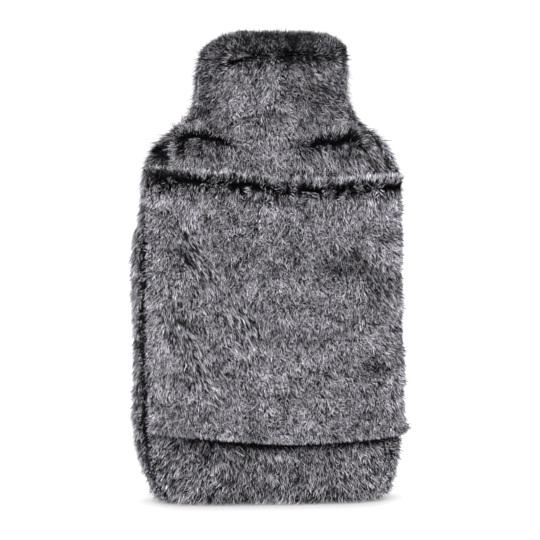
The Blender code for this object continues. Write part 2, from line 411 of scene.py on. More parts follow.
@dataclass(frozen=True)
class FloorFinish(Finish):
    """A floor that looks white to the camera, with a painted soft shadow round the cover's foot.
    """

    shadow_reach: float = 0.046  # how far the painted shadow spreads
    shadow_depth: float = 0.75
    shadow_glow: float = 0.20  # how much the floor glows to the camera where nothing is open
    light_glow: float = 0.15  # how much it glows on the cover
    light_paint: float = 0.80  # how much light it throws back on the cover
    seen_paint: float = 0.20  # and to the camera

    def links(self, tree: Tree) -> dict:
        """Paint the floor and let it glow, with a painted soft shadow in the glow that the camera
        sees.

        Args:
            tree: the material's tree.

        Returns:
            What the shader's inputs take.
        """
        seen = node(tree, "ShaderNodeLightPath").outputs["Is Camera Ray"]
        reach = {"Distance": self.shadow_reach}
        # painted shadow: the glow that the camera sees is dimmed where the cover closes the floor
        # in
        sky = node(tree, "ShaderNodeAmbientOcclusion", reach, samples=12).outputs["AO"]
        shadowed_glow = maths(tree, "MULTIPLY_ADD", sky, self.shadow_depth, self.shadow_glow)
        glow = node(tree, "ShaderNodeMix", {0: seen, 2: self.light_glow, 3: shadowed_glow}).outputs[0]
        paints = ((*(paint,) * 3, 1.0) for paint in (self.light_paint, self.seen_paint))
        return {
            "Base Color": mix(tree, seen, *paints),
            "Emission Color": WHITE,
            "Emission Strength": glow,
            "Roughness": 0.9,
            "Specular IOR Level": 0.0,
        }


BACKING = BackingFinish("knitted_backing")
LONG_PILE = PileFinish("long_pile")
UNDER_PILE = PileFinish(
    "under_pile", tip=(0.085, 0.082, 0.091), dye_start=0.5, dye_end=1.0, tone_spread=1.2
)


# How the pile lies


@dataclass
class Roots:
    """Where hairs grow: their places, the cloth's normals, and the room for pile above it."""

    points: Array
    normals: Array
    room: Array


@dataclass
class Lay:
    """How each hair of a pile lies and looks, and how the cover is at its root."""

    roots: Roots
    front: Array  # how much the cloth faces the front, from 0 to 1
    side: Array  # how much it faces sideways
    cap: Array  # how near the top it is
    drift: Array  # how lines on the cover stray from their courses
    direction: Array  # the hair's, along the cloth
    root_lift: Array  # its angles from the cloth
    tip_lift: Array
    length: Array
    tone: Array
    deep: Array  # how much further up its dark root reaches
    parted: Array  # how fully it is parted, from 0 to 1
    swept: Array


def beside(line: Line, points: Array) -> tuple[Array, Array, Array]:
    """The way from a line on the cover to each point.

    Args:
        line: the line, as points (x, z).
        points: points on the cover.

    Returns:
        The distance in the (x, z) plane, unit vectors (x, 0, z) straight away from the line, and
        1 beside the line's middle, falling to 0 over the last fifth at its ends.
    """
    flat = points[:, [0, 2]]
    best = np.full(len(flat), np.inf)
    away = np.zeros_like(flat)
    passed = np.zeros(len(flat))
    walked = 0.0
    for start, end in itertools.pairwise(np.array(line)):
        run = end - start
        length = np.linalg.norm(run)
        along = np.clip((flat - start) @ run / length**2, 0, 1)
        distance = np.linalg.norm(flat - start - along[:, None] * run, axis=1)
        nearer = distance < best
        best[nearer] = distance[nearer]
        square = np.array((-run[1], run[0])) / length
        away[nearer] = ((flat - start) @ square)[nearer, None] * square
        passed[nearer] = (walked + along * length)[nearer]
        walked += length
    away = unit(away)
    body = smooth(np.minimum(passed, walked - passed) / walked, 0.0, 0.2)
    return best, np.stack((away[:, 0], np.zeros(len(away)), away[:, 1]), axis=1), body


@dataclass(frozen=True)
class Parting:
    """A line on the front along which the pile parts and shows its roots, with painted shade along
    it where darken is above 0.
    """

    line: Line  # the roots' line, as points (x, z)
    reach: float  # how far from it the hair still turns away
    strength: float = 1.0  # how fully the hair turns
    lift: float = 8.0  # how many degrees more the tips stand up
    drop: float = 20.0  # how many degrees more the roots lie down
    wander: float = 0.0018  # how far the line strays from its course
    # painted shade along the line; below 0, painted light
    darken: float = 0.0
    crop: float = 0.0  # how much shorter the hair is
    deepen: float = 0.0  # how much further up the dark root reaches

    def apply(self, lay: Lay) -> None:
        """Part the hair beside the line, and paint shade on the hair there (light where darken is
        below 0).

        Args:
            lay: the hairs' lay, which is changed.
        """
        points = lay.roots.points
        distance, away, body = beside(self.line, points + self.wander * lay.drift)
        wobble = 1 + 0.35 * soft_noise(points, 0.009, 5)
        near = lay.front * np.exp(-((distance / self.reach / wobble) ** 2)) * (0.3 + 0.7 * body)
        share = self.strength * near
        lay.parted = np.maximum(lay.parted, share)
        lay.direction = lay.direction * (1 - share[:, None]) + away * share[:, None] * 1.2
        # painted shade along the line; below 0, painted light
        lay.tone -= self.darken * near
        lay.length *= 1 - self.crop * near
        lay.deep += self.deepen * near
        lay.root_lift -= self.drop * near
        lay.tip_lift += self.lift * near


@dataclass(frozen=True)
class Sweep:
    """A stretch where the pile was brushed one way and lies in long combed strokes."""

    line: Line  # its middle, as points (x, z)
    reach: float  # how far it reaches to each side
    way: tuple[float, float]  # the direction (x, z) in which the hair lies
    strength: float = 0.9  # how fully the hair turns that way
    comb: float = 0.9  # how combed it lies
    gap_shade: float = 0.70  # painted shade in the gaps between strokes: how much darker the lowest strands are
    darken: float = 0.0
    wander: float = 0.003  # how far the middle strays from its course
    strand_size: float = 0.0012
    stretch: float = 2.6  # how many times longer than wide a strand is

    def apply(self, lay: Lay) -> None:
        """Brush the hair, draw it together towards the strands' crests, and paint shade on the
        lowest strands.

        Args:
            lay: the hairs' lay, which is changed.
        """
        points = lay.roots.points
        distance, _, body = beside(self.line, points + self.wander * lay.drift)
        near = np.exp(-((distance / self.reach) ** 4)) * (0.4 + 0.6 * body) * lay.front
        ahead = np.array((self.way[0], 0.0, self.way[1]))
        aside = np.array((-self.way[1], 0.0, self.way[0]))
        heights = []  # how high the strands stand at each hair, and a little to both sides
        for shift in (0.0, 0.0002, -0.0002):
            places = (points @ aside + shift, points[:, 1], points @ ahead / self.stretch)
            heights.append(soft_noise(np.stack(places, axis=1), self.strand_size, 31))
        height, slope = heights[0], heights[1] - heights[2]
        brushed = ahead + np.clip(0.3 * slope, -0.10, 0.10)[:, None] * aside
        lay.swept = np.maximum(lay.swept, self.comb * near)
        share = (self.strength * near)[:, None]
        lay.direction = lay.direction * (1 - share) + brushed * share
        # painted shade on the strands that lie lowest
        lay.tone += near * (self.gap_shade * np.minimum(height, 0.03) - self.darken)
        lay.root_lift -= 12 * near
        lay.tip_lift += near * (14 * height - 6)


@dataclass(frozen=True)
class Hollow:
    """A soft place where the hair stands up and parts a little, with painted shade."""

    x: float  # its middle
    z: float
    half_width: float
    half_height: float
    lift: float  # how many degrees more the tips stand up
    darken: float  # painted shade; below 0, painted light

    def apply(self, lay: Lay) -> None:
        """Lift the hair in the hollow and paint shade on it, but not on the cover's back.

        Args:
            lay: the hairs' lay, which is changed.
        """
        across = (lay.roots.points[:, 0] - self.x) / self.half_width
        up = (lay.roots.points[:, 2] - self.z) / self.half_height
        share = np.exp(-across * across - up * up) * (lay.roots.normals[:, 1] < 0.2)
        lay.root_lift += self.lift * share * 0.6
        lay.tip_lift += self.lift * share
        # painted shade in the hollow; below 0, painted light
        lay.tone -= self.darken * share


def patches(points: Array, size: float, shift: float, strays: Array) -> tuple[Array, Array]:
    """Find the uneven patch of the cover that each hair stands in, and the patch's middle."""
    cells = np.floor(points / size + shift + strays).astype(np.int64)
    return cells, (cells - shift + 0.5) * size


TONE_NOISE = ((0.0030, 0.14, 2), (0.0060, 0.15, 3), (0.020, 0.08, 4))  # size, strength, seed
SHORTEST, LONGEST = 0.45, 1.6  # limits of a hair's length, against its pile's


@dataclass(frozen=True)
class Nap:
    """The way the pile lies on one panel, with angles in degrees."""

    splay: float = 5.0  # how much the hair turns outwards, for each metre from the middle
    seam_draw: float = 0.35  # how much it leans towards the side seam
    root_lift: float = 58.0
    tip_lift: float = 20.0
    length: float = 0.0100
    length_spread: float = 0.22
    swirl: float = 24.0  # slow turns of the nap
    swirl_size: float = 0.022
    tuft: float = 0.0036  # size of the tufts into which hairs gather
    tuft_turn: float = 26.0
    tuft_gather: float = 0.35
    tuft_lift: float = 10.0  # how far tufts rise or lie more than others
    tuft_tone: float = 0.12
    clump: float = 0.0062  # size of the clumps into which combed hair gathers
    clump_gather: float = 0.6
    loose_gather: float = 0.15  # how much uncombed hair gathers in them
    side_comb: float = 0.2  # how combed the pile lies where the cover turns to the sides
    side_sink: float = 14.0  # how much lower it lies there
    # painted rim light: how much lighter the hair is where the cloth turns to the sides
    painted_rim_light: float = 0.10
    rebels: float = 0.07  # share of clumps at a parting that lie across it
    stray: float = 20.0  # how far single hairs stray
    sway: float = 7.0  # how far they rise or lie more than others
    tone: float = 0.52
    tone_spread: float = 0.13
    dark_share: float = 0.25  # share of hairs that stay dark to the tip
    dark_drop: float = 0.45  # how much darker they are
    cap_start: float = 0.340  # around this height and the next, the hair turns to lie upwards
    cap_end: float = 0.350
    cap_stand: float = 14.0  # how far it stands up on the way
    cap_lift: float = 8.0
    cap_darken: float = 0.10
    cap_crop: float = 0.36
    cap_deepen: float = 0.10
    partings: tuple[Parting, ...] = ()
    sweeps: tuple[Sweep, ...] = ()
    hollows: tuple[Hollow, ...] = ()

    def lay(self, roots: Roots, random: Chance) -> Lay:
        """Work out how each hair lies.

        Args:
            roots: where the hairs grow.
            random: the source of chance.

        Returns:
            The lay of each hair.
        """
        lay = self.uncombed(roots, random)
        for feature in (*self.sweeps, *self.partings, *self.hollows):
            feature.apply(lay)
        self.settle(lay, random)
        return lay

    def uncombed(self, roots: Roots, random: Chance) -> Lay:
        """The lay before any parting, sweep or hollow.

        Args:
            roots: where the hairs grow.
            random: the source of chance.

        Returns:
            The lay of each hair.
        """
        points, count = roots.points, len(roots.points)
        side = smooth(1 - np.abs(roots.normals[:, 1]), 0.25, 0.75)
        cap = smooth(points[:, 2], self.cap_start, self.cap_end)
        height = points[:, 2] + 0.004 * soft_noise(points, 0.012, 33)
        turned = math.pi * smooth(height, self.cap_start, self.cap_end + 0.006)
        sideways = np.tanh(points[:, 0] / 0.030 + 1.4 * soft_noise(points, 0.016, 34))
        flow = np.zeros((count, 3))
        flow[:, 0] = self.splay * points[:, 0] * (1 + cap) + np.sin(turned) * sideways
        flow[:, 1] = self.seam_draw * np.where(points[:, 1] < SEAM_Y, 1, -1) * (1 - cap)
        flow[:, 2] = -np.cos(turned)
        stand = self.cap_lift * cap + self.cap_stand * np.sin(turned)
        tone = self.tone + self.tone_spread * random.normal(size=count)
        tone -= self.dark_drop * (random.random(count) < self.dark_share * (1 - 0.5 * side))
        # painted rim light at the sides
        tone += self.painted_rim_light * side - self.cap_darken * cap
        for size, strength, seed in TONE_NOISE:
            tone += strength * soft_noise(points, size, seed)
        spread = 1 + self.length_spread * random.normal(size=count)
        return Lay(
            roots=roots,
            front=smooth(-roots.normals[:, 1], -0.3, 0.2),
            side=side,
            cap=cap,
            drift=soft_shift(points, 0.010, 15) + 0.5 * soft_shift(points, 0.004, 25),
            direction=flow,
            root_lift=self.root_lift - self.side_sink * side + stand,
            tip_lift=self.tip_lift - 0.6 * self.side_sink * side + stand,
            length=self.length * np.clip(spread, SHORTEST, LONGEST) * (1 - self.cap_crop * cap),
            tone=tone,
            deep=self.cap_deepen * cap,
            parted=np.zeros(count),
            swept=np.zeros(count),
        )

    def settle(self, lay: Lay, random: Chance) -> None:
        """Lay the hair along the cloth, gather it, and let it swirl and stray.

        Args:
            lay: the hairs' lay, which is changed.
            random: the source of chance.
        """
        points, normals = lay.roots.points, lay.roots.normals
        strays = 0.4 * soft_shift(points, 0.004, 6)
        tufts, tuft_middles = patches(points, self.tuft, 0.37, strays)
        strays = 0.3 * soft_shift(points, 0.006, 21)
        clumps, clump_middles = patches(points, self.clump, 0.61, strays)
        side_comb = self.side_comb * lay.side
        combed = np.maximum(np.maximum(lay.parted, lay.swept), side_comb)
        tuft_share = self.tuft_gather * (1 - 0.5 * combed) * (1 - 0.8 * lay.swept)
        clump_share = self.loose_gather + self.clump_gather * np.maximum(lay.parted, side_comb)
        flow = along_cloth(lay.direction, normals)
        flow += tuft_share[:, None] * (tuft_middles - points) / self.tuft
        flow += clump_share[:, None] * (clump_middles - points) / self.clump
        flow = along_cloth(flow, normals)
        turn = self.swirl * soft_noise(points, self.swirl_size, 9)
        turn += 0.6 * self.swirl * soft_noise(points, self.swirl_size / 2.7, 10)
        turn += self.tuft_turn * cell_noise(tufts, 11)
        turn += self.stray * random.normal(size=len(points)) * (1 - 0.7 * lay.swept)
        turn *= (1 - 0.7 * combed) * (1 - 0.5 * lay.swept) * (1 + 0.5 * lay.cap)
        rebel = (cell_noise(clumps, 19) > 1 - 2 * self.rebels) & (lay.parted > 0.4)
        turn += rebel * np.sign(cell_noise(clumps, 20)) * (110 + 50 * cell_noise(clumps, 24))
        turn = np.radians(turn)[:, None]
        lay.direction = flow * np.cos(turn) + np.cross(normals, flow) * np.sin(turn)
        rise = self.tuft_lift * cell_noise(tufts, 13) + self.sway * random.normal(size=len(points))
        rise += self.tuft_lift * soft_noise(points, 0.0055, 18)
        lay.root_lift = np.radians(np.clip(lay.root_lift + rise, 10, 88))
        lay.tip_lift = np.radians(np.clip(lay.tip_lift + rise, -10, 84))
        lay.tone = np.clip(lay.tone + self.tuft_tone * cell_noise(tufts, 14), 0.02, 0.98)
        lay.deep = np.clip(lay.deep, 0, 0.5)


@dataclass
class Ground(Roots):
    """A triangulated piece of cloth that hair grows on."""

    triangles: Array

    @classmethod
    def from_cloth(cls, cloth: Object, room: Array) -> "Ground":
        """Read the ground from a cloth that has no thickness yet.

        Args:
            cloth: the cloth's object.
            room: how far the pile may reach above each of its points.

        Returns:
            The ground.
        """
        mesh = cloth.data
        mesh.calc_loop_triangles()
        normals = read(mesh.vertex_normals, "vector", np.float32).astype(float)
        triangles = read(mesh.loop_triangles, "vertices", np.int32)
        return cls(read(mesh.vertices, "co", float), normals, room, triangles)

    def sow(self, count: int, density: Array, random: Chance) -> Roots:
        """Choose places for hairs.

        Args:
            count: how many.
            density: how densely they stand at each point, against 1.
            random: the source of chance.

        Returns:
            The roots.
        """
        corners = self.points[self.triangles]
        square = np.cross(corners[:, 1] - corners[:, 0], corners[:, 2] - corners[:, 0])
        weight = np.linalg.norm(square, axis=1) * density[self.triangles].mean(axis=1)
        chosen = self.triangles[random.choice(len(weight), size=count, p=weight / weight.sum())]
        one, two = random.random((2, count))
        folded = one + two > 1
        one, two = np.where(folded, 1 - one, one), np.where(folded, 1 - two, two)
        shares = np.stack((1 - one - two, one, two), axis=1)[:, :, None]
        return Roots(
            (self.points[chosen] * shares).sum(1),
            unit((self.normals[chosen] * shares).sum(1)),
            (self.room[chosen] * shares[:, :, 0]).sum(1),
        )


@dataclass(frozen=True)
class Hair:
    """One kind of hair, modelled once and copied to every root."""

    width: float  # its greatest width
    lengths: int = 2  # how many straight lengths it is bent into
    curl: float = 9.0  # how many degrees it turns sideways between two of them
    roll: float = 38.0  # how many degrees single hairs turn about their own length
    taper: float = 0.8

    def model(self) -> tuple[Array, list[list[int]]]:
        """Model one hair as a flat strip, one unit long, drawn together at both ends.

        Returns:
            Its points (side, way along) and its faces.
        """
        bpy.ops.object.select_all(action="DESELECT")
        bpy.ops.mesh.primitive_grid_add(x_subdivisions=1, y_subdivisions=self.lengths, size=1)
        strip = bpy.context.object
        for end in (-0.5, 0.5):
            bpy.ops.object.mode_set(mode="EDIT")
            bpy.ops.mesh.select_mode(type="VERT")
            bpy.ops.mesh.select_all(action="DESELECT")
            bpy.ops.object.mode_set(mode="OBJECT")
            for vertex in strip.data.vertices:
                vertex.select = abs(vertex.co.y - end) < 0.01
            bpy.ops.object.mode_set(mode="EDIT")
            bpy.ops.mesh.merge(type="CENTER")
        bpy.ops.object.mode_set(mode="OBJECT")
        points = np.array([(vertex.co.x, vertex.co.y + 0.5) for vertex in strip.data.vertices])
        faces = [list(face.vertices) for face in strip.data.polygons]
        bpy.data.objects.remove(strip)
        return points, faces

    def grow(self, name: str, lay: Lay, random: Chance) -> Object:
        """Copy the hair to every root, as one joined mesh.

        Args:
            name: the pile's name.
            lay: how the hairs lie.
            random: the source of chance.

        Returns:
            The pile's object.
        """
        template, faces = self.model()
        normals, count = lay.roots.normals, len(lay.roots.points)
        curl = np.radians(self.curl * random.normal(size=count))
        across = np.cross(normals, lay.direction)
        line = [lay.roots.points]
        for part in range(self.lengths):
            share = (part + 0.5) / self.lengths
            rise = (lay.root_lift * (1 - share) + lay.tip_lift * share)[:, None]
            bend = (curl * (part - 0.5))[:, None]
            forward = lay.direction * np.cos(bend) + across * np.sin(bend)
            step = forward * np.cos(rise) + normals * np.sin(rise)
            line.append(line[-1] + step * (lay.length / self.lengths)[:, None])
        axis = unit(line[-1] - line[0])
        roll = np.radians(self.roll * random.normal(size=count))[:, None]
        side = unit(np.cross(lay.direction, normals))
        side = side * np.cos(roll) + np.cross(axis, side) * np.sin(roll)
        widths = (self.width * (0.75 + 0.5 * random.random(count)))[:, None]
        points = np.empty((count, len(template), 3))
        for index, (sideways, along) in enumerate(template):
            taper = 1.0 if along < 0.5 else self.taper
            middle = line[round(along * self.lengths)]
            points[:, index] = middle + side * widths * sideways * taper
        points[:, :, 2] = np.maximum(points[:, :, 2], FLOOR_CLEAR)
        return self.joined(name, points, faces, template, lay)

    @staticmethod
    def joined(
        name: str, points: Array, faces: list[list[int]], template: Array, lay: Lay
    ) -> Object:
        """Join all copies of a hair into one mesh with its map.

        Args:
            name: the mesh's name.
            points: each copy's points.
            faces: one hair's faces.
            template: one hair's points (side, way along).
            lay: each copy's tone and root.

        Returns:
            The joined object.
        """
        copies, size = points.shape[:2]
        corners = np.concatenate(faces)
        starts = np.concatenate(([0], np.cumsum([len(face) for face in faces])[:-1]))
        all_corners = (np.arange(copies)[:, None] * size + corners).ravel()
        all_starts = (np.arange(copies)[:, None] * len(corners) + starts).ravel()
        mesh = bpy.data.meshes.new(name)
        mesh.vertices.add(copies * size)
        mesh.vertices.foreach_set("co", points.ravel())
        mesh.loops.add(len(all_corners))
        mesh.loops.foreach_set("vertex_index", all_corners.astype(np.int32))
        mesh.polygons.add(len(all_starts))
        mesh.polygons.foreach_set("loop_start", all_starts.astype(np.int32))
        mesh.update(calc_edges=True)
        places = np.empty((copies, len(corners), 2))
        places[:, :, 0] = lay.tone[:, None] + template[corners, 0] * 0.01
        places[:, :, 1] = (0.01 + 0.98 * template[corners, 1]) * (1 - lay.deep[:, None])
        mesh.uv_layers.new(name=HAIR_MAP).uv.foreach_set("vector", places.ravel())
        return put(name, mesh)


DOWN = Hair(0.0011)
FINE_HAIR = Hair(0.00080)
BROAD_HAIR = Hair(0.00095)
WISP = Hair(0.00042)


# The panels


def hit_tree(nodes: tuple[str, ...]) -> BVHTree:
    """Gather solids of the frame for measuring.

    Args:
        nodes: the solids' names.

    Returns:
        A tree of all their faces.
    """
    points, faces = [], []
    for name in nodes:
        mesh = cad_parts[name].data
        first = len(points)
        points.extend(vertex.co.copy() for vertex in mesh.vertices)
        faces.extend([first + corner for corner in face.vertices] for face in mesh.polygons)
    return BVHTree.FromPolygons(points, faces)


@dataclass(frozen=True)
class Layer:
    """One pile of a panel."""

    label: str  # the end of its name
    hair: Hair
    finish: PileFinish
    count: int
    reach: float = 1.0  # the hairs' length, against the nap's
    place: Place = Place.ALL_OVER


@dataclass
class Panel:
    """What all panels share: a backing, the piles on it, and the cut size, hold and rests given
    for each, which nothing here reads.
    """

    solid: str  # its solid in the frame
    flat: tuple[float, float]  # the width and length that it is cut to
    flat_area: float  # the area of that cut
    hold: Hold
    nap: Nap
    layers: tuple[Layer, ...]  # its piles, from the lowest up
    seed: int
    rests_on: tuple[str, ...] = ()
    full_room: float = BODY_PILE  # the room above the cloth where the hair has its full length

    def backing(self) -> tuple[Object, Array]:
        """Make the panel's cloth, still without thickness, and the pile's room above it."""
        raise NotImplementedError

    def density(self, ground: Ground) -> Array:
        """How densely hair stands at each point of the ground, against 1."""
        return np.ones(len(ground.points))

    def trim(self, lay: Lay) -> None:
        """Cut hairs short where the panel needs it."""

    def turn_in(self, cloth: Object) -> None:
        """Turn the cloth's edges in where the panel needs it."""

    def build(self) -> list[Object]:
        """Returns:
            The pieces, the cloth first.
        """
        cloth, room = self.backing()
        ground = Ground.from_cloth(cloth, room)
        random = np.random.default_rng(self.seed)
        piles = []
        for layer in self.layers:
            density = self.density(ground)
            if layer.place is Place.RIM:
                density *= smooth(1 - np.abs(ground.normals[:, 1]), 0.15, 0.6)
            lay = self.nap.lay(ground.sow(layer.count, density, random), random)
            lay.length *= layer.reach * np.clip(lay.roots.room / self.full_room, 0.35, 1.0)
            self.trim(lay)
            piles.append(layer.hair.grow(f"{self.solid}_{layer.label}", lay, random))
            layer.finish.put_on(piles[-1])
        self.turn_in(cloth)
        take_up(cloth)
        wall = cloth.modifiers.new("cloth", "SOLIDIFY")
        wall.thickness = CLOTH
        wall.offset = -1
        bpy.ops.object.modifier_apply(modifier=wall.name)
        bpy.ops.object.shade_smooth()
        BACKING.put_on(cloth)
        for piece in (*piles, cloth):
            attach(piece, "root")
        for piece in (cloth, *piles):
            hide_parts(self.solid)
        return [cloth, *piles]


BODY_NODES = ("back_panel", "front_yoke", "front_pouch")
WALL_SHARE, DEPTH_SHARE = 0.72, 0.36  # how much of a wall and of the cover's depth pile may fill
HIDDEN_HALF = 0.082  # how far to each side the flap hides the front
HIDDEN_SHARE = 0.18  # how much of the hair stands there
FACING_OUT = 0.12  # the least that an outer face looks away from the cover's middle
OPEN_ROOM = 0.004  # how far nothing stands in front of an outer face
SEAM_LEAN = 0.45  # how far the seam's edge leans inwards, against its width
# The cover's middle: its depth, and how far it reaches to each side at each height
MIDDLE_Y = 0.0058
MIDRIB: Line = ((0.0, 0.070), (0.02, 0.078), (0.25, 0.080), (0.30, 0.040), (0.366, 0.020))
MIDRIB_ENDS = (0.020, 0.350)


@dataclass
class BodyPanel(Panel):
    """A panel of the cover's body, shaped by the outer side of its solid."""

    hidden: tuple[float, float] = (math.inf, -math.inf)  # heights between which the flap hides it
    seam_allowance: float = 0.0  # how far its edge runs on under the front's

    @staticmethod
    def middle_of(place: Vector) -> Vector:
        """The nearest point of the cover's middle to a point on it."""
        half = np.interp(place.z, *zip(*MIDRIB))
        return Vector((np.clip(place.x, -half, half), MIDDLE_Y, np.clip(place.z, *MIDRIB_ENDS)))

    def turn_in(self, cloth: Object) -> None:
        """Run the cloth's edge on forwards, inside the front's edge.

        Args:
            cloth: the cloth's object.
        """
        if not self.seam_allowance:
            return
        take_up(cloth)
        bpy.ops.object.mode_set(mode="EDIT")
        bpy.ops.mesh.select_mode(type="EDGE")
        bpy.ops.mesh.select_all(action="DESELECT")
        others = ("use_wire", "use_multi_face", "use_non_contiguous", "use_verts")
        bpy.ops.mesh.select_non_manifold(extend=False, **dict.fromkeys(others, False))
        forwards = {"value": (0, -self.seam_allowance, 0)}
        bpy.ops.mesh.extrude_edges_move(TRANSFORM_OT_translate=forwards)
        bpy.ops.object.mode_set(mode="OBJECT")
        for vertex in cloth.data.vertices:
            if vertex.select:
                inwards = self.middle_of(vertex.co) - vertex.co
                inwards.y = 0
                vertex.co += inwards.normalized() * SEAM_LEAN * self.seam_allowance

    def outer_side(self, solids: BVHTree) -> Object:
        """Copy the solid and keep its outer faces, without those at seams and inside.

        Args:
            solids: the body's solids.

        Returns:
            The faces as an object.
        """
        cloth = put(f"{self.solid}_cloth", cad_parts[self.solid].data.copy())
        take_up(cloth)
        bpy.ops.object.mode_set(mode="EDIT")
        bpy.ops.mesh.select_mode(type="FACE")
        bpy.ops.mesh.select_all(action="SELECT")
        bpy.ops.mesh.remove_doubles(threshold=1e-5)
        bpy.ops.mesh.select_all(action="DESELECT")
        bpy.ops.object.mode_set(mode="OBJECT")
        for face in cloth.data.polygons:
            place, normal = face.center, face.normal
            inner = normal.dot((place - self.middle_of(place)).normalized()) < FACING_OUT
            hit = solids.ray_cast(place + normal * 1e-5, normal, OPEN_ROOM)[0]
            face.select = inner or hit is not None
        bpy.ops.object.mode_set(mode="EDIT")
        bpy.ops.mesh.delete(type="FACE")
        bpy.ops.mesh.select_all(action="SELECT")
        bpy.ops.mesh.customdata_custom_splitnormals_clear()
        bpy.ops.object.mode_set(mode="OBJECT")
        return cloth

    def backing(self) -> tuple[Object, Array]:
        """Make the cloth: the solid's outer side, set in by the pile.

        Returns:
            The cloth's object, and the pile's room at each of its points.
        """
        solids = hit_tree(BODY_NODES)
        cloth = self.outer_side(solids)
        outer = Ground.from_cloth(cloth, np.zeros(0))
        room = np.empty(len(outer.points))
        for index, (point, normal) in enumerate(zip(outer.points, outer.normals)):
            start, inwards, depth = Vector(point), Vector(-normal), SKIP
            wall = solids.ray_cast(Vector(point - normal * SKIP), inwards, 0.1)[3]
            wall = 0.02 if wall is None else wall
            for _ in range(6):
                further = solids.ray_cast(start + inwards * depth, inwards, 0.5)[3]
                if further is None:
                    break
                depth += further + SKIP
            room[index] = min(BODY_PILE, wall * WALL_SHARE, depth * DEPTH_SHARE)
        inset = outer.points - outer.normals * room[:, None]
        cloth.data.vertices.foreach_set("co", inset.ravel())
        cloth.data.update()
        return cloth, room

    def density(self, ground: Ground) -> Array:
        """Less hair where the flap hides the front.

        Args:
            ground: the cloth.

        Returns:
            How densely hair stands at each of its points, against 1.
        """
        height = ground.points[:, 2]
        hidden = (height > self.hidden[0]) & (height < self.hidden[1])
        hidden &= (ground.normals[:, 1] < -0.85) & (np.abs(ground.points[:, 0]) < HIDDEN_HALF)
        return np.where(hidden, HIDDEN_SHARE, 1.0)


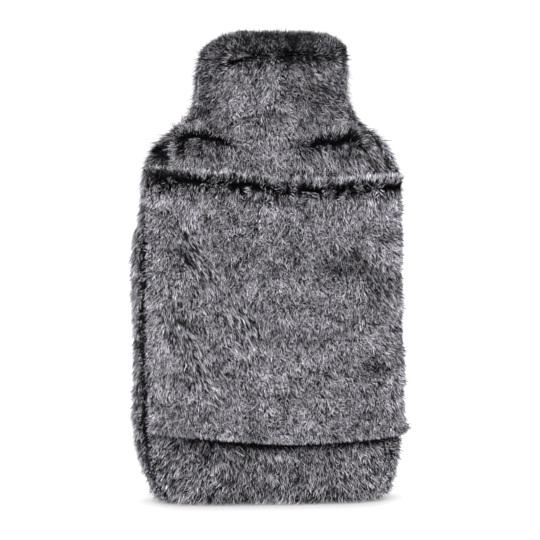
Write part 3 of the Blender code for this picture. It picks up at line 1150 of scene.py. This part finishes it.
@dataclass
class FlapPanel(Panel):
    """The flap: a sheet that is folded forwards at its top and hangs free."""

    full_room: float = FLAP_PILE
    fold: Line = ()
    columns: int = 44  # faces across and down, and those in the fold's roll
    rows: int = 52
    roll_rows: int = 9
    roll_radius: float = 0.0042
    roll_turn: float = 1.15  # how far the roll goes round, in quarter turns
    roll_fade: float = 0.014  # how far below the fold the sheet is flat again
    side_overhang: float = 0.0036  # how far the pile reaches past the cloth's edges
    hem_overhang: float = 0.0042
    probes: int = 24  # the number of places where each edge is measured

    @cached_property
    def tree(self) -> BVHTree:
        """The flap's solid, for measuring."""
        return hit_tree((self.solid,))

    @cached_property
    def middle(self) -> float:
        """The height of the flap's middle."""
        low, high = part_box(self.solid)
        return (low.z + high.z) / 2

    @cached_property
    def sides(self) -> tuple[Array, Array, Array]:
        """Measure the solid's side edges.

        Returns:
            Heights, and the left and right edges there.
        """
        low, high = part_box(self.solid)
        heights = np.linspace(low.z + 0.014, high.z - 0.020, self.probes)
        left, right = ([self.edge((0.0, z), (way, 0)) for z in heights] for way in (-1, 1))
        return heights, np.array(left), np.array(right)

    @cached_property
    def hem(self) -> tuple[Array, Array]:
        """Measure the solid's lower edge.

        Returns:
            Places across, and the edge's heights there.
        """
        _, left, right = self.sides
        first = left.max() + self.side_overhang + 0.004
        places = np.linspace(first, right.min() - self.side_overhang - 0.004, self.probes)
        return places, np.array([self.edge((x, self.middle), (0, -1)) for x in places])

    def backing(self) -> tuple[Object, Array]:
        """Make the cloth on the back of the flap's solid, and roll its top edge forwards.

        Returns:
            The cloth's object, and the pile's room at each of its points.
        """
        heights, left, right = self.sides
        left, right = left + self.side_overhang, right - self.side_overhang
        places, bottom = self.hem[0], self.hem[1] + self.hem_overhang
        width = right[0] - left[0]
        bpy.ops.object.select_all(action="DESELECT")
        bpy.ops.mesh.primitive_grid_add(
            x_subdivisions=self.columns, y_subdivisions=self.rows, size=1
        )
        cloth = bpy.context.object
        cloth.name = cloth.data.name = f"{self.solid}_cloth"
        room = np.empty(len(cloth.data.vertices))
        for index, vertex in enumerate(cloth.data.vertices):
            across = vertex.co.x + 0.5
            row = (0.5 - vertex.co.y) * self.rows
            drop = max(0.0, (row - self.roll_rows) / (self.rows - self.roll_rows))
            x, z = 0.0, self.middle
            for _ in range(4):
                ends = [float(np.interp(z, heights, side)) for side in (left, right)]
                x = ends[0] * (1 - across) + ends[1] * across
                top = float(np.interp(x, *zip(*self.fold)))
                low = float(np.interp(x, places, bottom))
                z = top * (1 - drop) + low * drop
            back, front = (self.face_at(x, z, side) for side in (1, -1))
            bulge = self.roll_radius * math.exp(-(((top - z) / self.roll_fade) ** 2) * 1.8)
            if row < self.roll_rows:
                turn = math.pi / 2 * (self.roll_rows - row) / self.roll_rows * self.roll_turn
                z = top + self.roll_radius * math.sin(turn)
                bulge = self.roll_radius * math.cos(turn)
            vertex.co = (x, back - CLOTH - bulge, z)
            inside = np.array(min(across * width, (1 - across) * width, z - low))
            room[index] = max(0.003, back - CLOTH - bulge - front)
            room[index] *= 0.62 + 0.38 * float(smooth(inside, 0.0, 0.012))
        cloth.data.update()
        return cloth, room

    def trim(self, lay: Lay) -> None:
        """Cut the hairs to a clean hem and clean sides.

        Args:
            lay: the hairs' lay, which is changed.
        """
        points = lay.roots.points
        lie = (np.cos(lay.root_lift) + np.cos(lay.tip_lift)) / 2
        fall = np.maximum(-lay.direction[:, 2], 0.05) * lie
        above = points[:, 2] - np.interp(points[:, 0], *self.hem)
        heights, left, right = self.sides
        run = lay.direction[:, 0] * lie
        ends = (np.interp(points[:, 2], heights, end) for end in (right, left))
        beyond = np.abs(np.where(run > 0, *ends) - points[:, 0]) + 0.001
        longest = np.minimum(above / fall, beyond / np.maximum(np.abs(run), 0.05))
        lay.length = np.clip(lay.length, 0.0025, np.maximum(longest, 0.0026))

    def edge(self, start: tuple[float, float], way: tuple[int, int]) -> float:
        """Find the flap's edge from a point on it.

        Args:
            start: a point (x, z) on the flap.
            way: the direction to look in.

        Returns:
            The edge's place along that direction.
        """
        near, far = 0.0, 0.3
        while far - near > 1e-4:
            tried = (near + far) / 2
            place = Vector((start[0] + way[0] * tried, -0.3, start[1] + way[1] * tried))
            if self.tree.ray_cast(place, Vector((0, 1, 0)))[0] is None:
                far = tried
            else:
                near = tried
        return start[0] * way[0] ** 2 + start[1] * way[1] ** 2 + near * (way[0] + way[1])

    def face_at(self, x: float, z: float, side: int) -> float:
        """The y of the solid's back (side 1) or front (side -1) at a point."""
        start, tree = Vector((x, 0.3 * side, z)), self.tree
        return (tree.ray_cast(start, Vector((0, -side, 0)))[0] or tree.find_nearest(start)[0]).y


# Lines and soft places of the pile on the front, as points (x, z) of the frame; many of them carry
# painted shade or painted light
FOLD: Line = (
    (-0.16, 0.2535), (-0.098, 0.2535), (-0.0599, 0.2524), (-0.0459, 0.2507), (-0.0179, 0.2487),
    (0.0008, 0.2444), (0.0203, 0.2442), (0.0452, 0.2442), (0.072, 0.2448), (0.0871, 0.2461),
    (0.0996, 0.246), (0.16, 0.246),
)
# painted light on the tips that stand up along the fold's ridge
FOLD_TIPS: Line = tuple((x, z + 0.0042) for x, z in FOLD)
# shorter hair, longer dark roots and painted shade at the fold's left end
FOLD_LEFT: Line = ((-0.12, 0.2544), (-0.098, 0.2544), (-0.064, 0.2534))
FOLD_DIP: Line = ((-0.072, 0.2565), (-0.05, 0.2556), (-0.033, 0.254))
# painted shade on the hair just below the fold
FOLD_SHADE: Line = (
    (-0.07, 0.2506), (-0.0459, 0.2486), (-0.0179, 0.2446), (0.0008, 0.2402), (0.0203, 0.2398),
    (0.0452, 0.2404), (0.06, 0.2408),
)
# painted shade at the fold's right end
FOLD_RIGHT: Line = ((0.044, 0.244), (0.07, 0.2446), (0.112, 0.2446))
LEFT_SHOULDER: Line = (
    (-0.076, 0.2815), (-0.064, 0.2838), (-0.0584, 0.2837), (-0.0444, 0.2828), (-0.03, 0.2795),
)
LEFT_TUCK: Line = ((-0.0672, 0.283), (-0.069, 0.2735))
LEFT_RIM: Line = ((-0.09, 0.274), (-0.08, 0.287), (-0.068, 0.2985))
RIGHT_SHOULDER: Line = (
    (0.0215, 0.2768), (0.03, 0.2776), (0.0404, 0.2816), (0.056, 0.2816), (0.066, 0.279),
)
RIGHT_SLOPE: Line = ((0.07, 0.29), (0.0801, 0.2767), (0.096, 0.256))
LEFT_STRIP: Line = ((-0.099, 0.235), (-0.103, 0.205), (-0.104, 0.08))
NECK_RIGHT: Line = ((0.056, 0.33), (0.06, 0.3118), (0.07, 0.296))
NECK_LEFT: Line = ((-0.056, 0.33), (-0.06, 0.3079), (-0.072, 0.2939))
POUCH_LEFT: Line = ((-0.084, 0.052), (-0.078, 0.015))
# painted shadow on the pouch just under the flap's hem
UNDER_HEM: Line = (
    (-0.0639, 0.0575), (-0.0483, 0.056), (-0.025, 0.0535), (0.0023, 0.0525), (0.0452, 0.0538),
    (0.0763, 0.0553), (0.16, 0.0575),
)
# painted shadow on the yoke, just above the fold's tips
ABOVE_FOLD: Line = (
    (-0.04, 0.265), (-0.02, 0.2623), (0.008, 0.2604), (0.04, 0.26), (0.07, 0.261), (0.095, 0.26),
)
# a parting at the neck's fold, with a little painted shade
NECK_FOLD: Line = (
    (-0.045, 0.3395), (-0.036, 0.3412), (-0.027, 0.3424), (-0.0172, 0.344), (-0.0078, 0.347),
)
NECK_SLOPE: Line = ((0.02, 0.349), (0.033, 0.341), (0.044, 0.3275), (0.05, 0.312))
# painted shadow in the groove beside the flap's left edge
LEFT_GROOVE: Line = ((-0.0962, 0.21), (-0.0966, 0.15), (-0.0962, 0.06), (-0.093, 0.028))
# where the crease's hair parts a little, with painted shade
CREASE_ROOT: Line = ((-0.079, 0.223), (-0.072, 0.207), (-0.0651, 0.1938), (-0.062, 0.187))
CREASE_BRUSHED: Line = ((-0.0685, 0.2279), (-0.0575, 0.1967), (-0.04, 0.17))
CREASE_FADING: Line = ((-0.0342, 0.1616), (-0.0093, 0.1305))
LOW_BRUSHED: Line = ((-0.0793, 0.1616), (-0.0615, 0.1266), (-0.0459, 0.0876))
RIGHT_BRUSHED: Line = ((0.0762, 0.1913), (0.0863, 0.1616), (0.0942, 0.1266))
CROSS_BRUSHED: Line = ((0.0685, 0.1734), (0.0607, 0.1344))
FLAP_LEFT: Line = ((-0.0905, 0.19), (-0.09, 0.13), (-0.089, 0.075))
# painted shade in a dip on the flap's right
RIGHT_DIP: Line = ((0.06, 0.197), (0.072, 0.19), (0.085, 0.178))

BODY_NAP = Nap(
    tone=0.46,
    rebels=0.03,
    # darken paints shade: a little in the neck's fold, and deep shadow above the fold's tips,
    # under the hem and in the left groove
    partings=(
        Parting(NECK_FOLD, 0.0038, 0.55, 0, 0, 0.0024, 0.06),
        Parting(LEFT_RIM, 0.009, 0.0, 40, -10, 0.001, 0.0, -0.4),
        Parting(LEFT_SHOULDER, 0.012, 0.9, 12, 12, 0.0022, deepen=0.07),
        Parting(LEFT_TUCK, 0.0044, 0.8, 8, 6),
        Parting(RIGHT_SHOULDER, 0.013, 1.0, 8, 16, 0.0024, deepen=0.06),
        Parting(ABOVE_FOLD, 0.0018, 0.0, 0, 6, 0.0005, 0.26),
        Parting(UNDER_HEM, 0.0026, 0.0, 0, 10, 0.0004, 1.2),
        Parting(LEFT_GROOVE, 0.0013, 0.0, 0, 15, 0.0004, 0.9),
    ),
    sweeps=(
        Sweep(RIGHT_SLOPE, 0.015, (0.62, -0.78), gap_shade=1.4, darken=-0.01),
        Sweep(NECK_SLOPE, 0.007, (0.64, -0.77), gap_shade=1.3, darken=0.02),
        Sweep(LEFT_STRIP, 0.006, (-0.45, -0.89), gap_shade=1.3, darken=-0.06),
        Sweep(NECK_RIGHT, 0.008, (0.45, -0.9), 0.8, 0.6, 0.3),
        Sweep(NECK_LEFT, 0.008, (-0.55, -0.83), 0.8, 0.6, 0.3),
        Sweep(POUCH_LEFT, 0.012, (-0.45, -0.9), 0.8, 0.8, 0.5),
    ),
    # painted shade in hollows and recesses, as at the shoulders, the neck and under the hem; where
    # darken is below 0, painted light
    hollows=(
        Hollow(-0.08, 0.2765, 0.0032, 0.011, 8, 0.9),
        Hollow(-0.09, 0.2668, 0.0055, 0.006, 8, 0.5),
        Hollow(-0.106, 0.145, 0.006, 0.09, 12, -0.14),
        Hollow(0.001, 0.3562, 0.042, 0.0052, 0, 0.34),
        Hollow(0.053, 0.345, 0.005, 0.006, 8, 0.5),
        Hollow(0.003, 0.307, 0.006, 0.002, 20, 0.2),
        Hollow(0.051, 0.312, 0.016, 0.02, 0, 0.17),
        Hollow(-0.0584, 0.305, 0.01, 0.005, 0, 0.2),
        Hollow(-0.045, 0.316, 0.009, 0.022, 0, 0.13),
        Hollow(-0.05, 0.047, 0.011, 0.008, 0, 0.16),
        Hollow(-0.0327, 0.2975, 0.0085, 0.008, 0, 0.2),
        Hollow(0.0295, 0.298, 0.01, 0.008, 0, 0.17),
        Hollow(0.0139, 0.344, 0.012, 0.006, 0, 0.12),
    ),
)
YOKE_NAP = replace(
    BODY_NAP, tone=0.48, cap_darken=0.07, tip_lift=30.0, stray=32.0, tuft_turn=34.0
)
FLAP_NAP = Nap(
    splay=2.0,
    seam_draw=0.0,
    length=0.0096,
    root_lift=62.0,
    tip_lift=36.0,
    swirl=34.0,
    tuft_turn=38.0,
    clump=0.0044,
    stray=36.0,
    rebels=0.14,
    tone=0.515,
    cap_start=1.0,
    cap_end=2.0,
    # darken paints shade below and beside the fold, in the crease and in the right dip, and light
    # on the fold's tips
    partings=(
        Parting(FOLD, 0.009, 1.0, 10, 11, 0.0008, -0.03),
        Parting(FOLD_LEFT, 0.0028, 0.0, 0, 0, 0.0008, 0.16, 0.24, 0.24),
        Parting(FOLD_SHADE, 0.0032, 0.0, 0, 0, 0.001, 0.16),
        Parting(FOLD_RIGHT, 0.0026, 0.0, 0, 6, 0.0012, 0.2),
        Parting(FOLD_TIPS, 0.0036, 0.0, 0, 0, 0.0008, -0.16, 0.24, 0.12),
        Parting(FOLD_DIP, 0.0045, 0.0, 0, 0, 0.0008, 0.0, 0.22),
        Parting(CREASE_ROOT, 0.0032, 0.1, 0, 6, 0.0018, 0.12),
        Parting(RIGHT_DIP, 0.005, 0.0, 6, 0, 0.0015, 0.22),
    ),
    sweeps=(
        Sweep(CREASE_BRUSHED, 0.0125, (0.55, -0.83), 1.0, 1.0, 0.85, -0.06),
        Sweep(CREASE_FADING, 0.013, (0.5, -0.86), 0.9, 0.8, 0.8, -0.05),
        Sweep(LOW_BRUSHED, 0.009, (0.5, -0.86), 0.9, 0.8, 0.75, -0.05),
        Sweep(RIGHT_BRUSHED, 0.009, (0.5, -0.86), 0.9, 0.8, 0.75, -0.05),
        Sweep(CROSS_BRUSHED, 0.005, (-0.4, -0.9), 0.8, 0.7, 0.8, -0.05),
        Sweep(FLAP_LEFT, 0.012, (-0.1, -0.99), 0.7, 0.25, 0.0),
    ),
    # painted shade in hollows of the flap; where darken is below 0, painted light near its edges
    hollows=(
        Hollow(0.0475, 0.1897, 0.014, 0.008, 16, 0.24),
        Hollow(0.074, 0.1125, 0.009, 0.007, 16, 0.25),
        Hollow(0.056, 0.137, 0.006, 0.013, 8, 0.08),
        Hollow(0.0747, 0.144, 0.012, 0.014, 0, 0.1),
        Hollow(-0.0342, 0.144, 0.01, 0.01, 0, 0.1),
        Hollow(-0.088, 0.218, 0.014, 0.03, 0, -0.13),
        Hollow(0.0902, 0.199, 0.011, 0.03, 0, -0.1),
        Hollow(0.0902, 0.097, 0.008, 0.03, 0, -0.09),
        Hollow(-0.0809, 0.121, 0.01, 0.016, 0, -0.12),
        Hollow(-0.0926, 0.082, 0.01, 0.01, 0, -0.12),
        Hollow(-0.042, 0.066, 0.018, 0.009, 0, -0.08),
    ),
)


def piles(under: int, count: int, hair: Hair, *more: Layer) -> tuple[Layer, ...]:
    """A panel's piles: the short dense one, the long one, and any more."""
    short = Layer("under_pile", DOWN, UNDER_PILE, under, 0.74)
    return short, Layer("long_pile", hair, LONG_PILE, count), *more


PANELS = (
    BodyPanel(
        solid="back_panel",
        flat=(0.30, 0.42),
        flat_area=0.105,
        hold=Hold.STRETCHED,
        nap=BODY_NAP,
        layers=piles(
            60000,
            98000,
            BROAD_HAIR,
            Layer("top_pile", FINE_HAIR, LONG_PILE, 36000),
            Layer("rim_fuzz", WISP, LONG_PILE, 14000, 1.05, Place.RIM),
        ),
        seed=21,
        seam_allowance=0.0045,
    ),
    BodyPanel(
        solid="front_yoke",
        flat=(0.21, 0.14),
        flat_area=0.022,
        hold=Hold.STRETCHED,
        nap=YOKE_NAP,
        layers=piles(20000, 52000, FINE_HAIR),
        seed=22,
        hidden=(0.2, 0.250),
    ),
    BodyPanel(
        solid="front_pouch",
        flat=(0.22, 0.25),
        flat_area=0.052,
        hold=Hold.STRETCHED,
        nap=BODY_NAP,
        layers=piles(14000, 38000, FINE_HAIR),
        seed=23,
        hidden=(0.08, 0.3),
    ),
    FlapPanel(
        solid="front_flap",
        flat=(0.20, 0.23),
        flat_area=0.046,
        hold=Hold.HUNG,
        nap=FLAP_NAP,
        layers=piles(34000, 99000, FINE_HAIR),
        seed=24,
        rests_on=("front_yoke_cloth",),
        fold=FOLD,
    ),
)


# The studio


@dataclass
class Studio:
    """A white floor, soft light from a white surround and four soft boxes, and the camera."""

    target: tuple[float, float, float] = (0.0002, 0.0, 0.181)  # what the camera looks at
    azimuth: float = -5.0  # where it stands round the cover, in degrees
    elevation: float = 6.0  # how high it stands, in degrees
    distance: float = 2.2
    lens: float = 189.3  # its focal length, in millimetres
    floor_radius: float = 60.0
    surround: float = 0.40  # the surround's strength
    box_size: float = 1.4
    boxes: tuple[tuple[Colour, float], ...] = (  # each soft box's place and power
        ((-0.8, -2.2, 1.9), 88.0),
        ((1.2, -2.3, 1.1), 46.0),
        ((-1.3, 2.0, 1.6), 60.0),
        ((1.2, 2.1, 1.8), 70.0),
    )

    def floor(self) -> None:
        """Lay the floor."""
        bpy.ops.object.select_all(action="DESELECT")
        bpy.ops.mesh.primitive_circle_add(
            vertices=64, radius=self.floor_radius, fill_type="NGON"
        )
        floor = bpy.context.object
        floor.name = "floor"
        FloorFinish("white_floor").put_on(floor)

    def light(self) -> None:
        """Set up the white surround and the soft boxes."""
        world = bpy.data.worlds.new("white_surround")
        world.use_nodes = True
        backdrop = world.node_tree.nodes["Background"]
        backdrop.inputs["Color"].default_value = WHITE
        backdrop.inputs["Strength"].default_value = self.surround
        bpy.context.scene.world = world
        for number, (place, power) in enumerate(self.boxes):
            lamp = bpy.data.lights.new(f"soft_box_{number}", "AREA")
            lamp.shape = "SQUARE"
            lamp.size = self.box_size
            lamp.energy = power
            box = put(lamp.name, lamp)
            box.location = place
            way = Vector(place) - Vector(self.target)
            box.rotation_euler = way.to_track_quat("Z", "Y").to_euler()

    def camera(self) -> None:
        """Set up the camera and the plain colour response."""
        turn, rise = math.radians(self.azimuth), math.radians(self.elevation)
        flat = math.cos(rise)
        back = Vector((math.sin(turn) * flat, -math.cos(turn) * flat, math.sin(rise)))
        lens = bpy.data.cameras.new("camera")
        lens.lens = self.lens
        lens.sensor_width = 36.0
        camera = put("camera", lens)
        camera.location = Vector(self.target) + back * self.distance
        camera.rotation_euler = back.to_track_quat("Z", "Y").to_euler()
        bpy.context.scene.camera = camera
        bpy.context.scene.view_settings.view_transform = "Standard"


def main() -> None:
    """Build and dress the cover, then set up the studio."""
    logging.basicConfig(level=logging.INFO, format="%(message)s")
    report = logging.getLogger("cover")
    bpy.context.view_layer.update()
    for panel in PANELS:
        for piece in panel.build():
            piece.data.calc_loop_triangles()
            report.info("%s: %d triangles", piece.name, len(piece.data.loop_triangles))
    studio = Studio()
    studio.floor()
    studio.light()
    studio.camera()


if __name__ == "__main__":
    main()
